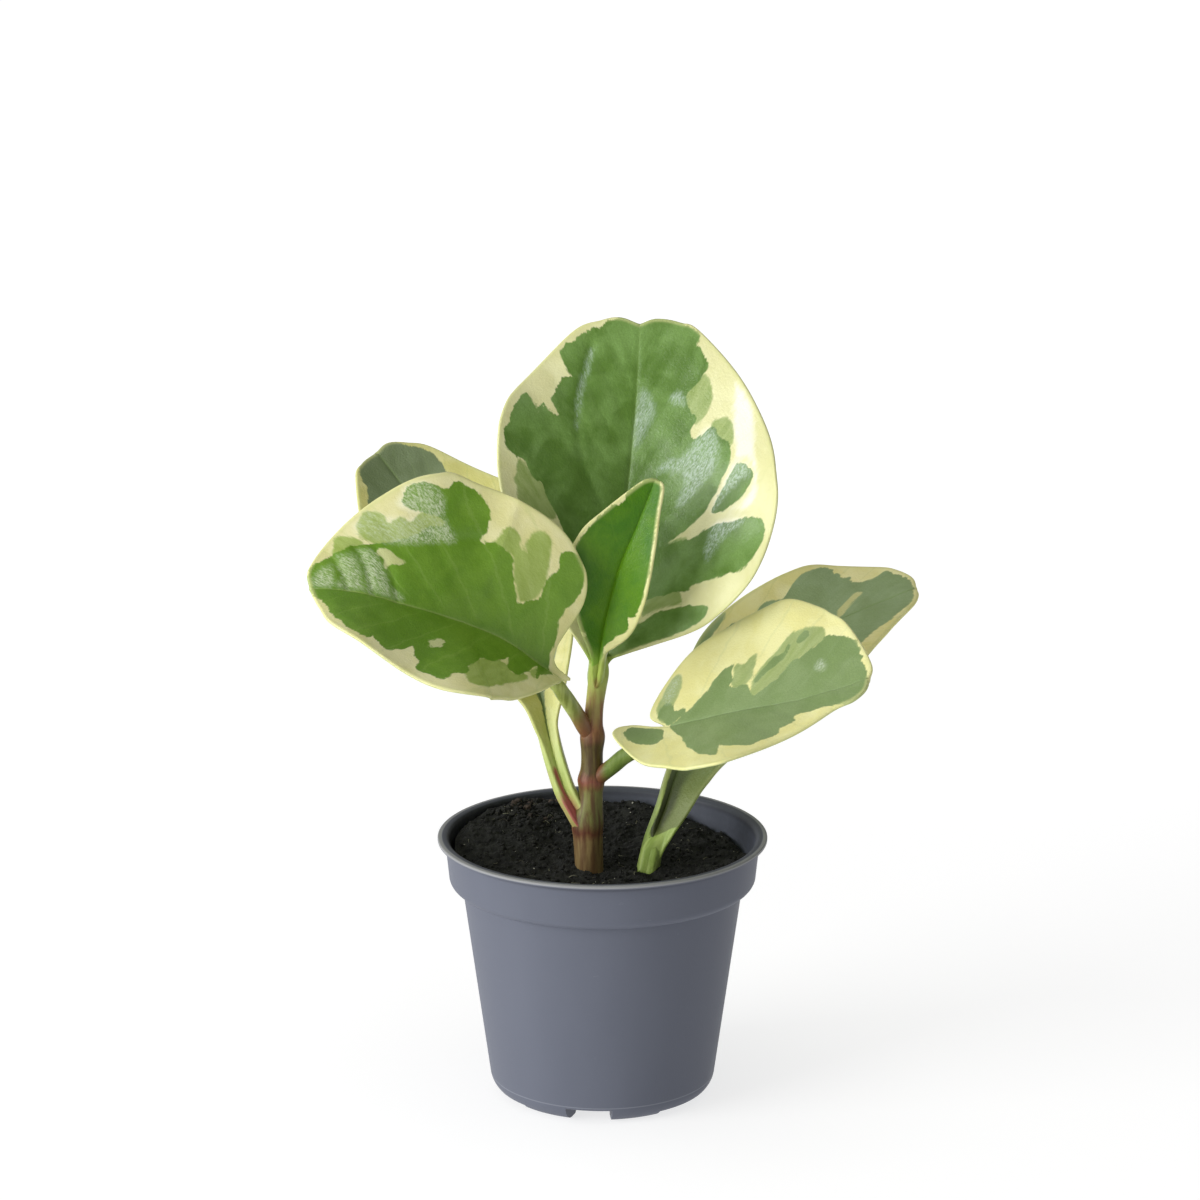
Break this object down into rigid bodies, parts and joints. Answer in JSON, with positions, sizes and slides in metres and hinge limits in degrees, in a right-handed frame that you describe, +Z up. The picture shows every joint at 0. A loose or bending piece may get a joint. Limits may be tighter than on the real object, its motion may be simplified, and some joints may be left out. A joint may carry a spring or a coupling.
{
  "type": "potted peperomia",
  "caption": "Young house plant with broad variegated leaves on short stalks round an upright stem, growing from soil in a round tapered nursery pot that stands on a flat surface.",
  "frame": {"origin": "on the surface the pot stands on, under the middle of the plant's whole footprint", "axes": "+Z up, -Y towards the front of the plant, +X to its right seen from the front"},
  "size_m": [0.1092, 0.0786, 0.1417],
  "materials": {
    "pot_plastic": "satin moulded plastic with a faint grain",
    "soil": "dark moist peat with crumbs, fibres and pale grit",
    "stem": "smooth green skin with red-brown streaks and joints",
    "leaf": "waxy, glossy, green patches on cream",
    "young_leaf": "waxy, glossy, bright green with a cream edge"
  },
  "bodies": {
    "root": {"pot": "pot_plastic", "soil": "soil", "stem": "stem", "leaf_top": "leaf", "leaf_young": "young_leaf", "leaf_left_front": "leaf", "leaf_left_back": "leaf", "leaf_right_front": "leaf", "leaf_right_back": "leaf"}
  },
  "joints": []
}
